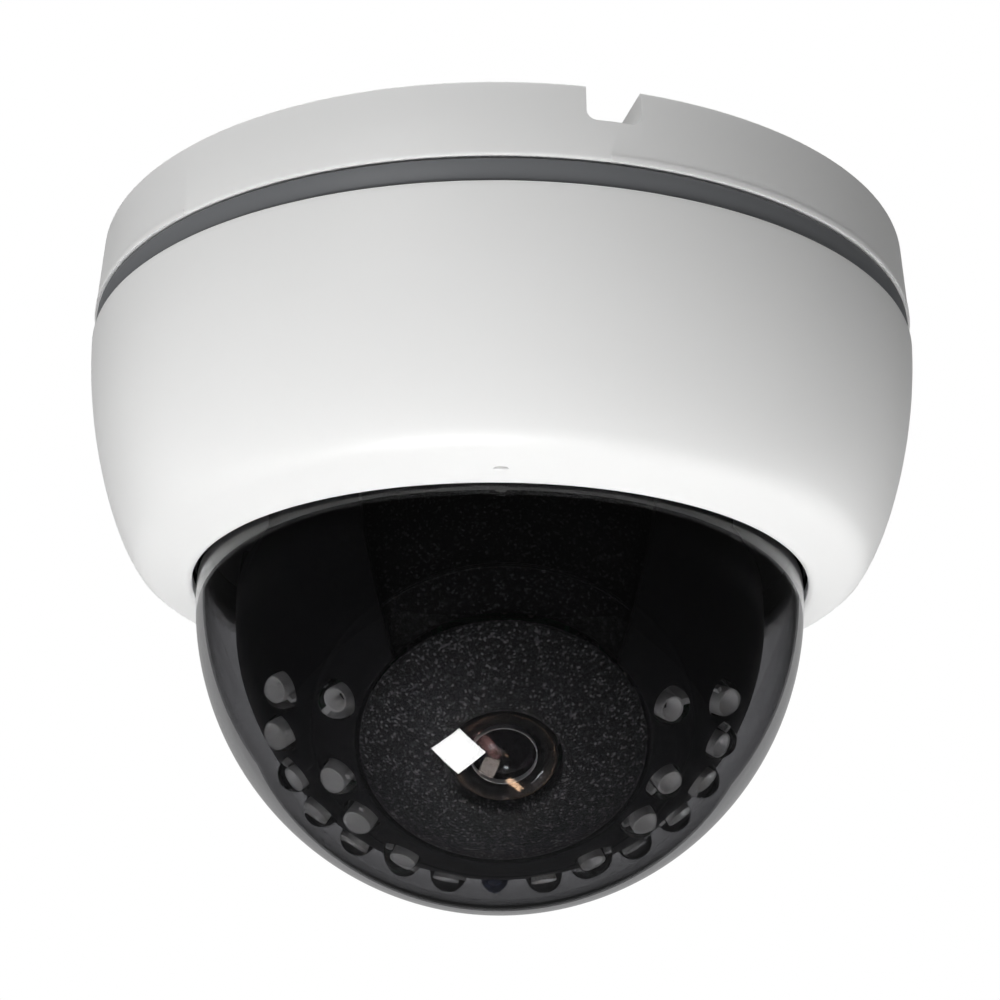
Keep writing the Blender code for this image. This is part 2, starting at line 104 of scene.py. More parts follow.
def addRod(bm, radius, low, high, place=Matrix(), steps=32):
    bmesh.ops.create_cone(bm, cap_ends=True, segments=steps, radius1=radius, radius2=radius,
                          depth=high - low, matrix=place @ Matrix.Translation((0, 0, (low + high) / 2)))
    return bm


def addPrism(bm, outline, offset, place=Matrix()):
    face = bm.faces.new([bm.verts.new(place @ Vector(p)) for p in outline])
    grown = bmesh.ops.extrude_face_region(bm, geom=[face])["geom"]
    bmesh.ops.translate(bm, vec=place.to_3x3() @ Vector(offset),
                        verts=[g for g in grown if isinstance(g, bmesh.types.BMVert)])
    bmesh.ops.recalc_face_normals(bm, faces=bm.faces)
    return bm


def aroundFront(angle, radius=0.0):
    turn = radians(angle)                            # from the front towards +X
    return Matrix.Translation((radius * sin(turn), -radius * cos(turn), 0)) @ Matrix.Rotation(turn, 4, "Z")


def ledPlace(polar, phi):
    return Matrix.Rotation(radians(-phi), 4, "Z") @ Matrix.Rotation(radians(polar), 4, "Y")


def makeObject(name, bm, place):
    bmesh.ops.transform(bm, matrix=place, verts=bm.verts)
    mesh = bpy.data.meshes.new(name)
    bm.to_mesh(mesh)
    bm.free()
    piece = bpy.data.objects.new(name, mesh)
    bpy.context.collection.objects.link(piece)
    return piece


def carve(piece, bm, place, operation="DIFFERENCE"):
    helper = makeObject(piece.name + "_tool", bm, place)
    change = piece.modifiers.new("carve", "BOOLEAN")
    change.operation = operation
    change.object = helper
    change.solver = "EXACT"
    graph = bpy.context.evaluated_depsgraph_get()
    shaped = bpy.data.meshes.new_from_object(piece.evaluated_get(graph), depsgraph=graph)
    piece.modifiers.clear()
    piece.data = shaped
    bpy.data.objects.remove(helper, do_unlink=True)


def handOver(piece, mat, body, replaced=(), sharper=35.0):
    piece.data.materials.clear()
    piece.data.materials.append(mat)
    piece.data.shade_smooth()
    piece.data.set_sharp_from_angle(angle=radians(sharper))
    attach(piece, body)
    if replaced:
        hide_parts(*replaced)
    return piece


def newGroup(name, inputs, outputs):
    group = bpy.data.node_groups.new(name, "ShaderNodeTree")
    for socket, default in inputs.items():
        made = group.interface.new_socket(socket, in_out="INPUT", socket_type="NodeSocketFloat")
        made.default_value = default
    for socket, kind in outputs.items():
        group.interface.new_socket(socket, in_out="OUTPUT", socket_type=kind)
    nodes = group.nodes
    return group, nodes, group.links, nodes.new("NodeGroupInput"), nodes.new("NodeGroupOutput")


def mathNode(nodes, links, operation, a, b=None):
    node = nodes.new("ShaderNodeMath")
    node.operation = operation
    for socket, value in zip(node.inputs, (a, b)):
        if isinstance(value, (int, float)):
            socket.default_value = value
        elif value is not None:
            links.new(value, socket)
    return node.outputs[0]


def noiseAt(nodes, links, scale, detail, rough=0.5, vector=None):
    node = nodes.new("ShaderNodeTexNoise")
    node.inputs["Detail"].default_value = detail
    node.inputs["Roughness"].default_value = rough
    if vector is None:
        vector = nodes.new("ShaderNodeTexCoord").outputs["Object"]
    links.new(vector, node.inputs["Vector"])
    if isinstance(scale, (int, float)):
        node.inputs["Scale"].default_value = scale
    else:
        links.new(scale, node.inputs["Scale"])
    return node.outputs["Fac"]


def makeMouldSkin():
    # fine moulded skin: Height for bump, Drift for slow changes of tone
    group, nodes, links, given, made = newGroup(
        "mouldSkin", {"Grain mm": 0.4, "Drift mm": 30.0},
        {"Height": "NodeSocketFloat", "Drift": "NodeSocketFloat"})
    perMetre = mathNode(nodes, links, "DIVIDE", 1000.0, given.outputs["Grain mm"])
    slow = mathNode(nodes, links, "DIVIDE", 1000.0, given.outputs["Drift mm"])
    links.new(noiseAt(nodes, links, perMetre, 3.0, 0.6), made.inputs["Height"])
    links.new(noiseAt(nodes, links, slow, 2.0), made.inputs["Drift"])
    return group


def makeSparkGrainWithPaintedGlints():
    # spark-eroded grain: rounded pits and grains of mixed size, with a mask of a few cells whose colour is painted
    # light, as painted glints
    group, nodes, links, given, made = newGroup(
        "sparkGrainWithPaintedGlints", {"Grain mm": 0.45},
        {"Height": "NodeSocketFloat", "Painted glints": "NodeSocketFloat"})
    perMetre = mathNode(nodes, links, "DIVIDE", 1000.0, given.outputs["Grain mm"])
    coord = nodes.new("ShaderNodeTexCoord").outputs["Object"]
    cells = nodes.new("ShaderNodeTexVoronoi")
    cells.inputs["Randomness"].default_value = 1.0
    links.new(coord, cells.inputs["Vector"])
    links.new(perMetre, cells.inputs["Scale"])
    rough = noiseAt(nodes, links, mathNode(nodes, links, "MULTIPLY", perMetre, 0.7), 4.0, 0.7, coord)
    height = mathNode(nodes, links, "SUBTRACT", rough,
                      mathNode(nodes, links, "MULTIPLY", cells.outputs["Distance"], 0.7))
    # the few cells with the highest red value form the mask of painted glints
    split = nodes.new("ShaderNodeSeparateColor")
    links.new(cells.outputs["Color"], split.inputs["Color"])
    links.new(height, made.inputs["Height"])
    links.new(mathNode(nodes, links, "POWER", split.outputs["Red"], 9.0), made.inputs["Painted glints"])
    return group


def makeSmudges():
    # wiped smears, drawn out along one way, for gloss
    group, nodes, links, given, made = newGroup(
        "smudges", {"Smear mm": 14.0}, {"Smear": "NodeSocketFloat"})
    stretch = nodes.new("ShaderNodeMapping")
    stretch.inputs["Scale"].default_value = (1.0, 1.0, 3.0)
    stretch.inputs["Rotation"].default_value = (0.3, 0.6, 0.2)
    links.new(nodes.new("ShaderNodeTexCoord").outputs["Object"], stretch.inputs["Vector"])
    smearScale = mathNode(nodes, links, "DIVIDE", 1000.0, given.outputs["Smear mm"])
    links.new(noiseAt(nodes, links, smearScale, 4.0, 0.55, stretch.outputs["Vector"]), made.inputs["Smear"])
    return group


mouldSkin = makeMouldSkin()
sparkGrainWithPaintedGlints = makeSparkGrainWithPaintedGlints()
smudges = makeSmudges()


def newMaterial(name):
    mat = bpy.data.materials.new(name)
    mat.use_nodes = True
    nodes, links = mat.node_tree.nodes, mat.node_tree.links
    return mat, nodes, links, nodes["Principled BSDF"]


def useGroup(nodes, group, **values):
    node = nodes.new("ShaderNodeGroup")
    node.node_tree = group
    for socket, value in values.items():
        node.inputs[socket.replace("_", " ")].default_value = value
    return node


def spreadTo(nodes, links, factor, low, high, socket):
    span = nodes.new("ShaderNodeMapRange")
    span.inputs["From Min"].default_value = 0.3
    span.inputs["From Max"].default_value = 0.7
    span.inputs["To Min"].default_value = low
    span.inputs["To Max"].default_value = high
    links.new(factor, span.inputs["Value"])
    links.new(span.outputs["Result"], socket)


def blendColours(nodes, links, factor, first, second):
    mix = nodes.new("ShaderNodeMix")
    mix.data_type = "RGBA"
    mix.inputs["A"].default_value = (*first, 1)
    mix.inputs["B"].default_value = (*second, 1)
    links.new(factor, mix.inputs["Factor"])
    return mix.outputs["Result"]


def raiseSkin(nodes, links, height, shader, depth, strength=1.0):
    bump = nodes.new("ShaderNodeBump")
    bump.inputs["Distance"].default_value = depth * mm
    bump.inputs["Strength"].default_value = strength
    links.new(height, bump.inputs["Height"])
    links.new(bump.outputs["Normal"], shader.inputs["Normal"])


def mouldedPlastic(name, tone, gloss, grain, depth, drift=0.03, **sockets):
    # tone: middle colour; gloss: lowest and highest roughness; grain and depth in millimetres
    mat, nodes, links, shader = newMaterial(name)
    skin = useGroup(nodes, mouldSkin, Grain_mm=grain)
    marks = useGroup(nodes, smudges)
    darker = [c * (1 - drift) for c in tone]
    lighter = [min(1, c * (1 + drift)) for c in tone]
    links.new(blendColours(nodes, links, skin.outputs["Drift"], darker, lighter),
              shader.inputs["Base Color"])
    spreadTo(nodes, links, marks.outputs["Smear"], *gloss, shader.inputs["Roughness"])
    raiseSkin(nodes, links, skin.outputs["Height"], shader, depth)
    for socket, value in sockets.items():
        shader.inputs[socket.replace("_", " ")].default_value = value
    return mat


def grainedPlasticWithPaintedGlints(name, look):
    mat, nodes, links, shader = newMaterial(name)
    grain = useGroup(nodes, sparkGrainWithPaintedGlints, Grain_mm=look["grain"])
    # the few masked cells take the lighter colour: painted glints on the grain
    links.new(blendColours(nodes, links, grain.outputs["Painted glints"], look["dark"], look["paintedGlint"]),
              shader.inputs["Base Color"])
    spreadTo(nodes, links, grain.outputs["Height"], *look["gloss"], shader.inputs["Roughness"])
    raiseSkin(nodes, links, grain.outputs["Height"], shader, look["depth"], look["strength"])
    return mat


def clearMaterial(name, tint, gloss, ior, through):
    # a clear or smoked solid; lamps shine through it by way of the shadow rays
    mat, nodes, links, shader = newMaterial(name)
    marks = useGroup(nodes, smudges)
    shader.inputs["Base Color"].default_value = (*tint, 1)
    shader.inputs["Transmission Weight"].default_value = 1.0
    shader.inputs["IOR"].default_value = ior
    spreadTo(nodes, links, marks.outputs["Smear"], *gloss, shader.inputs["Roughness"])
    path = nodes.new("ShaderNodeLightPath")
    passing = nodes.new("ShaderNodeBsdfTransparent")
    passing.inputs["Color"].default_value = (*through, 1)
    mix = nodes.new("ShaderNodeMixShader")
    links.new(path.outputs["Is Shadow Ray"], mix.inputs["Fac"])
    links.new(shader.outputs["BSDF"], mix.inputs[1])
    links.new(passing.outputs["BSDF"], mix.inputs[2])
    links.new(mix.outputs["Shader"], nodes["Material Output"].inputs["Surface"])
    return mat


def metalMaterial(name, tone, gloss, grain, metallic=1.0):
    mat, nodes, links, shader = newMaterial(name)
    skin = useGroup(nodes, mouldSkin, Grain_mm=grain)
    links.new(blendColours(nodes, links, skin.outputs["Drift"], [c * 0.85 for c in tone], tone),
              shader.inputs["Base Color"])
    shader.inputs["Metallic"].default_value = metallic
    spreadTo(nodes, links, skin.outputs["Height"], *gloss, shader.inputs["Roughness"])
    raiseSkin(nodes, links, skin.outputs["Height"], shader, 0.01)
    return mat


def boardMaterial(name):
    # solder mask over copper tracks, with tinned pads showing through
    mat, nodes, links, shader = newMaterial(name)
    coord = nodes.new("ShaderNodeTexCoord").outputs["Object"]
    tracks = nodes.new("ShaderNodeTexBrick")
    tracks.inputs["Scale"].default_value = 90.0
    tracks.inputs["Mortar Size"].default_value = 0.03
    tracks.inputs["Color1"].default_value = (0.010, 0.075, 0.030, 1)
    tracks.inputs["Color2"].default_value = (0.012, 0.090, 0.036, 1)
    tracks.inputs["Mortar"].default_value = (0.03, 0.17, 0.07, 1)
    links.new(coord, tracks.inputs["Vector"])
    pads = nodes.new("ShaderNodeTexVoronoi")
    pads.inputs["Scale"].default_value = 330.0
    pads.inputs["Randomness"].default_value = 0.5
    links.new(coord, pads.inputs["Vector"])
    tinned = mathNode(nodes, links, "LESS_THAN", pads.outputs["Distance"], 0.16)
    mix = nodes.new("ShaderNodeMix")
    mix.data_type = "RGBA"
    mix.inputs["B"].default_value = (0.62, 0.60, 0.55, 1)
    links.new(tinned, mix.inputs["Factor"])
    links.new(tracks.outputs["Color"], mix.inputs["A"])
    links.new(mix.outputs["Result"], shader.inputs["Base Color"])
    links.new(tinned, shader.inputs["Metallic"])
    skin = useGroup(nodes, mouldSkin, Grain_mm=0.8)
    spreadTo(nodes, links, skin.outputs["Height"], 0.25, 0.4, shader.inputs["Roughness"])
    raiseSkin(nodes, links, tracks.outputs["Fac"], shader, 0.02)
    return mat


whitePlastic = mouldedPlastic("satin white plastic", (0.80, 0.80, 0.795), (0.40, 0.45), 0.5, 0.0015,
                              0.004, Coat_Weight=0.05, Coat_Roughness=0.3)
greyBand = mouldedPlastic("grey band plastic", (0.165, 0.17, 0.178), (0.35, 0.46), 0.35, 0.006, 0.04)
blackSatin = mouldedPlastic("black satin plastic", (0.0095, 0.0095, 0.0105), (0.30, 0.42), 0.3, 0.006, 0.1)
blackMatte = mouldedPlastic("black matte plastic", (0.012, 0.012, 0.013), (0.5, 0.65), 0.4, 0.012, 0.1)
softRubber = mouldedPlastic("black rubber", (0.02, 0.02, 0.021), (0.7, 0.85), 0.3, 0.01, 0.1)
greenShell = mouldedPlastic("connector green", (0.03, 0.22, 0.08), (0.4, 0.5), 0.3, 0.01, 0.05)
# each grain's darker colour is the plastic's own tone; the lighter one is painted glint on a few facets
capGrainAndGlints = grainedPlasticWithPaintedGlints("black spark grain with painted glints", {
    "grain": 0.28, "dark": (0.012, 0.012, 0.0125), "paintedGlint": (0.30, 0.30, 0.305), "gloss": (0.3, 0.55),
    "depth": 0.08, "strength": 0.8})
linerGrainAndGlints = grainedPlasticWithPaintedGlints("dark spark grain with painted glints", {
    "grain": 0.3, "dark": (0.004, 0.004, 0.0042), "paintedGlint": (0.08, 0.08, 0.082), "gloss": (0.4, 0.6),
    "depth": 0.08, "strength": 0.8})
smokedDome = clearMaterial("smoked polycarbonate", (0.36, 0.36, 0.37), (0.0, 0.03), 1.58, (0.60, 0.60, 0.61))
clearResin = clearMaterial("clear resin", (0.95, 0.96, 0.97), (0.01, 0.05), 1.52, (0.9, 0.9, 0.9))
zincSteel = metalMaterial("zinc plated steel", (0.62, 0.62, 0.60), (0.2, 0.38), 0.25)
silverCup = metalMaterial("silvered cup", (0.93, 0.92, 0.9), (0.25, 0.5), 0.35, 0.3)
lensBlack = mouldedPlastic("gloss black barrel", (0.004, 0.004, 0.0045), (0.10, 0.16), 0.3, 0.002, 0.1)
boardGreen = boardMaterial("solder mask")
chipBlack = mouldedPlastic("chip black", (0.018, 0.018, 0.02), (0.3, 0.4), 0.2, 0.004, 0.05)
coatedGlass = clearMaterial("coated lens glass", (0.45, 0.36, 0.5), (0.0, 0.015), 1.6, (0.6, 0.5, 0.65))
sensorGlass = mouldedPlastic("image sensor window", (0.02, 0.025, 0.05), (0.04, 0.1), 0.3, 0.001, 0.1,
                             Coat_Weight=1.0, Coat_Roughness=0.02)
print("finishes made")


# fixings: circles of the three pan track and dome screws, and the main board's two screws
fixings = {"panCircle": 49.6, "domeCircle": 47.0, "boardCircle": 30.0, "boardAngle": 65}


def threeRound(circle):
    return [aroundFront(60 + 120 * k, circle) for k in range(3)]


def boardScrewPlace(side):
    return aroundFront(fixings["boardAngle"] * side, fixings["boardCircle"])


base = {
    "rimRadius": 57.0, "skirtRadius": 57.8, "depth": 10.8, "plate": 3.2,
    "neckRadius": 54.0, "neckInner": 51.8, "neckBottom": -19.0, "edge": 0.45,
    "notchAngle": 12.25, "notchWidth": 7.2, "notchDepth": 5.0, "notchCorner": 1.3,
    "lipFrom": 11.75, "lipTo": 312.25, "lipHeight": 0.85, "lipProud": 0.07,
}


def makeBase(b):
    bm = spinPoints([(0, 0), (b["rimRadius"], 0), (b["skirtRadius"], -b["depth"]),
                     (b["neckRadius"], -b["depth"]), (b["neckRadius"], b["neckBottom"]),
                     (b["neckInner"], b["neckBottom"]), (b["neckInner"], -b["plate"]),
                     (0, -b["plate"])], 192)
    softenEdges(bm, b["edge"], 3)
    piece = makeObject("base_shell", bm, housingPlace)
    joins = bmesh.new()
    for place in threeRound(fixings["panCircle"]):
        addRod(joins, 2.4, -8.4, -2.2, place)
    for side in (-1, 1):
        addRod(joins, 3.0, -4.5, -2.2, boardScrewPlace(side))
    carve(piece, joins, housingPlace, "UNION")
    for k in range(3):
        lug = spinPoints([(53.2, -14.4), (55.2, -14.4), (55.2, -15.6), (53.2, -16.6)], 12, 18.0,
                         120 * k + 21)
        carve(piece, lug, housingPlace, "UNION")
    lip = spinPoints([(56.0, -b["depth"] + 0.02), (b["skirtRadius"] - 0.02, -b["depth"] + 0.02),
                      (b["skirtRadius"] + b["lipProud"], -b["depth"] + 0.2),
                      (b["skirtRadius"] + b["lipProud"] - 0.06, b["lipHeight"] - b["depth"]),
                      (b["skirtRadius"] - 0.3, b["lipHeight"] - b["depth"] + 0.12),
                      (56.0, b["lipHeight"] - b["depth"])],
                     160, b["lipTo"] - b["lipFrom"], b["lipFrom"] - 90)
    carve(piece, lip, housingPlace, "UNION")
    half, corner, depth = b["notchWidth"] / 2, b["notchCorner"], b["notchDepth"]
    outline = [(-half, 0, 1.0)]
    for i in range(7):
        turn = radians(180 + 90 * i / 6)
        outline.append((corner - half + corner * cos(turn), 0, corner - depth + corner * sin(turn)))
    outline += [(-x, y, z) for x, y, z in reversed(outline)]
    cuts = addPrism(bmesh.new(), outline, (0, -18, 0), aroundFront(b["notchAngle"], 44.0))
    addRod(cuts, 6.0, -5, 1, Matrix.Translation((0, 24.0, 0)))
    for side in (-1, 1):
        ends = []
        for i in range(18):
            turn = radians(-90 + 180 * (i % 9) / 8 + (180 if i > 8 else 0))
            ends.append((side * 38 + (3.7 if i < 9 else -3.7) + 2.3 * cos(turn), 2.3 * sin(turn), -5))
        addPrism(cuts, ends, (0, 0, 6))
    carve(piece, cuts, housingPlace)
    holes = bmesh.new()
    for place in threeRound(fixings["panCircle"]):
        addRod(holes, 1.3, -9.4, -2.4, place, 20)
    for side in (-1, 1):
        addRod(holes, 1.6, -5.5, -1.6, boardScrewPlace(side), 20)
    carve(piece, holes, housingPlace)
    return handOver(piece, whitePlastic, "base", ["base_housing"])


makeBase(base)

band = {"inner": 54.3, "outer": 57.55, "top": -11.1, "bottom": -14.1, "edge": 0.25}


def makeBand(b):
    bm = spinPoints([(b["inner"], b["top"]), (b["outer"], b["top"]), (b["outer"], b["bottom"]),
                     (b["inner"], b["bottom"])], 192)
    softenEdges(bm, b["edge"], 3)
    piece = makeObject("grey_band", bm, housingPlace)
    for k in range(3):
        gap = spinPoints([(53.5, -10), (55.6, -10), (55.6, -15), (53.5, -15)], 12, 24.0, 120 * k + 78)
        carve(piece, gap, housingPlace)
    return handOver(piece, greyBand, "locking_ring", ["lock_ring"])


makeBand(band)

cover = {
    "radius": 58.0, "top": -14.4, "curveDepth": 35.6, "fall": 9.0, "tuck": 3.4, "tuckPower": 10,
    "wall": 2.2, "openingRadius": 42.4, "openingZ": -48.2, "ledgeZ": -46.7, "rows": 34, "edge": 0.35,
    "curveEnd": -45.2,
    "bead": ((49.75, -45.85), (49.1, -46.32), (48.2, -46.72), (47.0, -47.15), (45.8, -47.62), (44.8, -48.05),
             (43.9, -48.45), (43.3, -48.66), (42.8, -48.66), (42.5, -48.48)),
}


def coverOuter(c, z):
    drop = (c["top"] - z) / c["curveDepth"]
    return c["radius"] - c["fall"] * drop ** 2 - c["tuck"] * drop ** c["tuckPower"]


def makeCover(c):
    outside = []
    for i in range(c["rows"] + 1):
        z = c["top"] + (c["curveEnd"] - c["top"]) * i / c["rows"]
        outside.append((coverOuter(c, z), z))
    inner = [(c["openingRadius"], c["openingZ"]), (c["openingRadius"], c["ledgeZ"]), (46.4, c["ledgeZ"])]
    for i in range(13):
        z = -44.8 + (c["top"] + 44.8) * i / 12
        inner.append((coverOuter(c, z) - c["wall"], z))
    bm = spinPoints(outside + list(c["bead"]) + inner, 224)
    softenEdges(bm, c["edge"], 3, 50)
    piece = makeObject("cover_shell", bm, housingPlace)
    posts = bmesh.new()
    for place in threeRound(fixings["domeCircle"]):
        addRod(posts, 1.6, -46.2, -44.0, place)
    carve(piece, posts, housingPlace, "UNION")
    holes = bmesh.new()
    for place in threeRound(fixings["domeCircle"]):
        addRod(holes, 1.0, -45.95, -43.0, place, 20)
    carve(piece, holes, housingPlace)
    return handOver(piece, whitePlastic, "cover", ["outer_cover"])


makeCover(cover)

pip = {"angle": -1.75, "halfWidth": 0.95, "halfDepth": 0.34, "height": 0.3, "radius": 45.45, "z": -47.85,
       "lean": 65.0}


def makePip(p):
    bm = bmesh.new()
    bmesh.ops.create_uvsphere(bm, u_segments=32, v_segments=16, radius=1.0)
    place = aroundFront(p["angle"], p["radius"]) @ Matrix.Translation((0, 0, p["z"]))
    bmesh.ops.transform(bm, matrix=place @ Matrix.Rotation(radians(p["lean"]), 4, "X")
                        @ Matrix.Diagonal((p["halfWidth"], p["height"], p["halfDepth"], 1)), verts=bm.verts)
    return handOver(makeObject("lip_pip", bm, housingPlace), whitePlastic, "cover")


makePip(pip)
print("housing made")


# deeper: how far the pole hangs below a true half ball
dome = {"outer": 41.8, "inner": 40.5, "centreZ": -50.4, "deeper": 0.5, "flangeRadius": 44.9,
        "flange": (-45.5, -44.0)}


def makeDome(d):
    bottom, top = d["flange"]
    points = (arcPoints(d["outer"], 180, 90, 64, d["centreZ"])
              + [(d["outer"], bottom), (d["flangeRadius"], bottom), (d["flangeRadius"], top),
                 (d["inner"], top)]
              + arcPoints(d["inner"], 90, 180, 64, d["centreZ"]))
    points = [(r, z - d["deeper"] * max(0.0, (d["centreZ"] - z) / d["outer"]) ** 2) for r, z in points]
    piece = makeObject("smoked_dome_shell", spinPoints(points, 192), housingPlace)
    return handOver(piece, smokedDome, "cover", ["dome_bubble"])


makeDome(dome)


def ringPiece(name, points, mat, body, node, edge=0.2, steps=160, place=housingPlace):
    bm = softenEdges(spinPoints(points, steps), edge, 2)
    return handOver(makeObject(name, bm, place), mat, body, [node] if node else ())


ringPiece("rubber_seal", [(42.7, -46.4), (45.0, -46.4), (45.0, -45.8), (42.7, -45.8)], softRubber,
          "cover", "dome_seal")


def drilledRing(name, points, mat, body, node, holeRadius, circle, low, high):
    piece = makeObject(name, softenEdges(spinPoints(points, 160), 0.2, 2), housingPlace)
    cuts = bmesh.new()
    for place in threeRound(circle):
        addRod(cuts, holeRadius, low, high, place, 24)
    carve(piece, cuts, housingPlace)
    return handOver(piece, mat, body, [node])


drilledRing("retaining_ring", [(42.0, -43.7), (48.6, -43.7), (48.6, -42.2), (42.0, -42.2)], blackMatte,
            "cover", "dome_retainer", 1.1, fixings["domeCircle"], -45, -41)
drilledRing("pan_track", [(44.6, -8.7), (51.3, -8.7), (51.3, -10.7), (46.6, -10.7), (46.6, -14.4),
                          (42.6, -14.4), (42.6, -13.2), (44.6, -13.2)], blackMatte,
            "base", "pan_ring", 1.4, fixings["panCircle"], -12, -7)


def makeScrew(name, place, head, shank, body, node):
    # head: radius and its two heights; a domed head with a cross recess, and a threaded shank
    radius, top, bottom = head
    shankRadius, tip = shank
    away = 1 if tip > bottom else -1
    crown = [(0, top - away * 0.25), (radius * 0.5, top - away * 0.2), (radius * 0.85, top + away * 0.05),
             (radius, top + away * 0.45), (radius, bottom), (shankRadius, bottom)]
    turns = max(4, int(abs(tip - bottom) / 0.5))
    for i in range(turns):
        at = bottom + (tip - bottom) * (i + 0.5) / turns
        crown += [(shankRadius * (1.0 if i % 2 else 0.84), at)]
    crown += [(shankRadius * 0.6, tip), (0, tip)]
    piece = makeObject(name, spinPoints(crown, 28), place)
    cross = bmesh.new()
    low, high = sorted((top - away, top + away * 0.55))
    addBlock(cross, (-0.24, -radius * 0.62, low), (0.24, radius * 0.62, high))
    carve(piece, cross, place)
    cross = addBlock(bmesh.new(), (-radius * 0.62, -0.24, low), (radius * 0.62, 0.24, high))
    carve(piece, cross, place)
    return handOver(piece, zincSteel, body, [node], 30)


threes = zip(threeRound(fixings["panCircle"]), threeRound(fixings["domeCircle"]))
for k, (panPlace, domePlace) in enumerate(threes, 1):
    makeScrew(f"pan_track_screw_{k}", housingPlace @ panPlace, (1.9, -12.4, -11.0), (1.0, -4.4),
              "base", f"pan_ring_screw_{k}")
    makeScrew(f"retaining_screw_{k}", housingPlace @ domePlace, (1.8, -40.7, -41.9), (0.75, -45.7),
              "cover", f"retainer_screw_{k}")
for side, word in ((-1, "left"), (1, "right")):
    makeScrew(f"pivot_screw_{word}", ballPlace @ Matrix.Rotation(radians(90 * side), 4, "Y"),
              (3.2, 27.6, 29.2), (1.45, 34.4), "eyeball", f"tilt_screw_{word}")
    makeScrew(f"main_board_screw_{word}", housingPlace @ boardScrewPlace(side),
              (2.6, -8.0, -6.7), (1.25, -2.2), "base", f"board_screw_{word}")
print("dome, rings and screws made")


ball = {
    "radius": 36.5, "wall": 1.5, "holePolar": 31.1, "rimPolar": 115.0, "rearPolar": 115.6,
    "ridgePolar": 41.8, "ridgeHeight": 0.1, "seamPolar": 77.5, "seamStep": 0.22,
    "ledHole": 2.75, "sensorPolar": 58.5,
    "slot": ((12.6, 8.0), (18.2, 24.4), (21.8, 37.0)),
}
ledSide = ((51.0, 184.2), (52.1, 170.2), (53.6, 155.9), (55.0, 142.1), (57.0, 128.0), (58.5, 114.0),
           (36.5, 193.2), (36.8, 162.0), (37.6, 143.8), (41.0, 122.0), (49.9, 103.4))
leds = {
    "places": ledSide + tuple((polar, 180.0 - phi) for polar, phi in ledSide),
    "foot": 30.2, "tip": 38.8, "radius": 2.5, "flange": 2.65,
}


def armSectors():
    bm = bmesh.new()
    for side in (-1, 1):
        turns = [radians(66 + 140 * i / 28) for i in range(29)]
        ring = [(side * 28.9, 42 * sin(t), 42 * cos(t)) for t in turns]
        ring += [(side * 28.9, 8 * sin(t), 8 * cos(t)) for t in reversed(turns)]
        addPrism(bm, ring, (side * 12, 0, 0))
    return bm


def pivotRods(radius, low, high):
    bm = bmesh.new()
    for side in (-1, 1):
        addRod(bm, radius, low, high, Matrix.Rotation(radians(90 * side), 4, "Y"))
    return bm


def makeBallShell(b, l):
    inner = b["radius"] - b["wall"]
    ridge, seam = b["ridgePolar"], b["seamPolar"]
    points = (arcPoints(b["radius"], b["holePolar"], ridge - 0.4, 12)
              + arcPoints(b["radius"] + b["ridgeHeight"], ridge, ridge + 0.2, 1)
              + arcPoints(b["radius"], ridge + 0.6, seam, 40)
              + arcPoints(b["radius"] - b["seamStep"], seam + 0.25, b["rimPolar"], 36)
              + arcPoints(inner, b["rimPolar"], b["holePolar"], 48))
    piece = makeObject("eyeball_shell", softenEdges(spinPoints(points, 160), 0.22, 2, 50), ballPlace)
    carve(piece, pivotRods(4.0, 32.5, 35.4), ballPlace, "UNION")
    edge = [(x, y, -20) for x, y in b["slot"]] + [(-x, y, -20) for x, y in reversed(b["slot"])]
    carve(piece, addPrism(bmesh.new(), edge, (0, 0, 60)), ballPlace)
    carve(piece, armSectors(), ballPlace)
    holes = pivotRods(1.8, 30.0, 34.8)
    for polar, phi in l["places"]:
        addRod(holes, b["ledHole"], 33, 39, ledPlace(polar, phi), 28)
    addRod(holes, 2.2, 33, 39, ledPlace(b["sensorPolar"], 90.0), 28)
    carve(piece, holes, ballPlace)
    return handOver(piece, blackSatin, "eyeball", ["ball_shell"])


def makeBallRear(b):
    inner = b["radius"] - b["wall"]
    points = arcPoints(b["radius"], b["rearPolar"], 172, 36) + arcPoints(inner, 172, b["rearPolar"], 36)
    piece = makeObject("eyeball_back", softenEdges(spinPoints(points, 128), 0.22, 2, 50), ballPlace)
    carve(piece, armSectors(), ballPlace)
    return handOver(piece, blackSatin, "eyeball", ["ball_rear"])


def makeSlotLiner():
    # collar band next to the cap, a step, and the grained wall behind the slot
    points = (arcPoints(34.6, 32.0, 41.4, 8) + arcPoints(34.75, 41.6, 41.9, 1)
              + arcPoints(34.4, 42.2, 42.4, 1)
              + arcPoints(33.3, 42.9, 106, 40) + arcPoints(32.0, 106, 32.2, 40))
    piece = makeObject("slot_lining", spinPoints(points, 72, 104.0, 38.0), ballPlace)
    return handOver(piece, linerGrainAndGlints, "eyeball", ["slot_liner"])


makeBallShell(ball, leds)
makeBallRear(ball)
makeSlotLiner()

cap = {"radius": 36.3, "edgePolar": 30.6, "wall": 1.6, "hole": 7.5, "holeEdge": 0.5, "tunnelEnd": 32.6}


